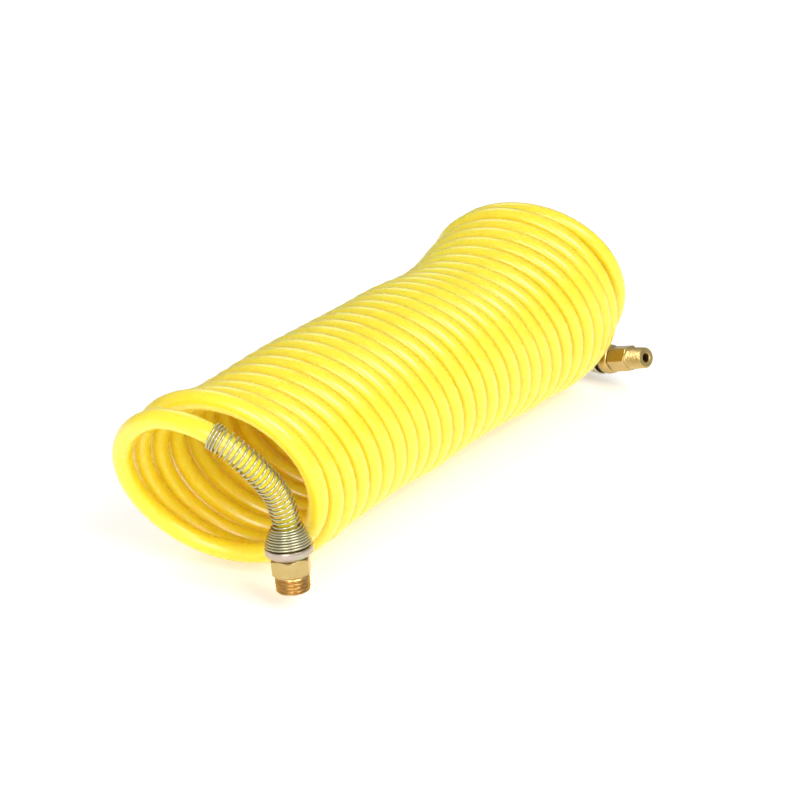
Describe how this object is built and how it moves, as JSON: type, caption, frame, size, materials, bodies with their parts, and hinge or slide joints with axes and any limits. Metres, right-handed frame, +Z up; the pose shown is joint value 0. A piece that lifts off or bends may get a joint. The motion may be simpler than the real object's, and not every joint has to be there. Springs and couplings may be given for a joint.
{
  "type": "recoil air hose",
  "caption": "Coiled nylon air hose lying on its side, with a male pipe thread fitting and a spring guard at each end; one of them swivels.",
  "frame": {"origin": "on the ground, under the middle of the whole hose's bounding box", "axes": "+X along the coil, from the end with the rigid fitting to the end with the swivel; +Y across the coil, away from the fittings; +Z up"},
  "size_m": [0.3094, 0.1041, 0.0933],
  "materials": {
    "hose": "glossy, slightly translucent yellow nylon",
    "plated_steel": "bright plated steel with a faint yellow iridescence",
    "brass": "turned bright brass",
    "seal": "matt black rubber"
  },
  "bodies": {
    "hose": {"hose_coil_front": "hose", "hose_coil_rear": "hose", "hose_front_tail": "hose", "hose_rear_tail": "hose", "front_spring": "plated_steel", "front_collar": "plated_steel", "front_body": "brass", "front_insert": "brass", "front_sleeve": "brass", "rear_spring": "plated_steel", "rear_stem": "brass", "rear_sleeve": "brass", "rear_dust_seal": "seal", "rear_o_ring_1": "seal", "rear_o_ring_2": "seal"},
    "swivel": {"rear_swivel_body": "brass", "rear_swivel_collar": "brass", "rear_thrust_washer": "brass", "rear_retaining_ring": "plated_steel"}
  },
  "joints": [
    {"name": "rear_swivel", "type": "hinge", "parent": "hose", "child": "swivel", "pos_m": [0.13803, -0.04952, 0.01972], "axis": [-0.2804, -0.9133, 0.2954], "continuous": true}
  ]
}
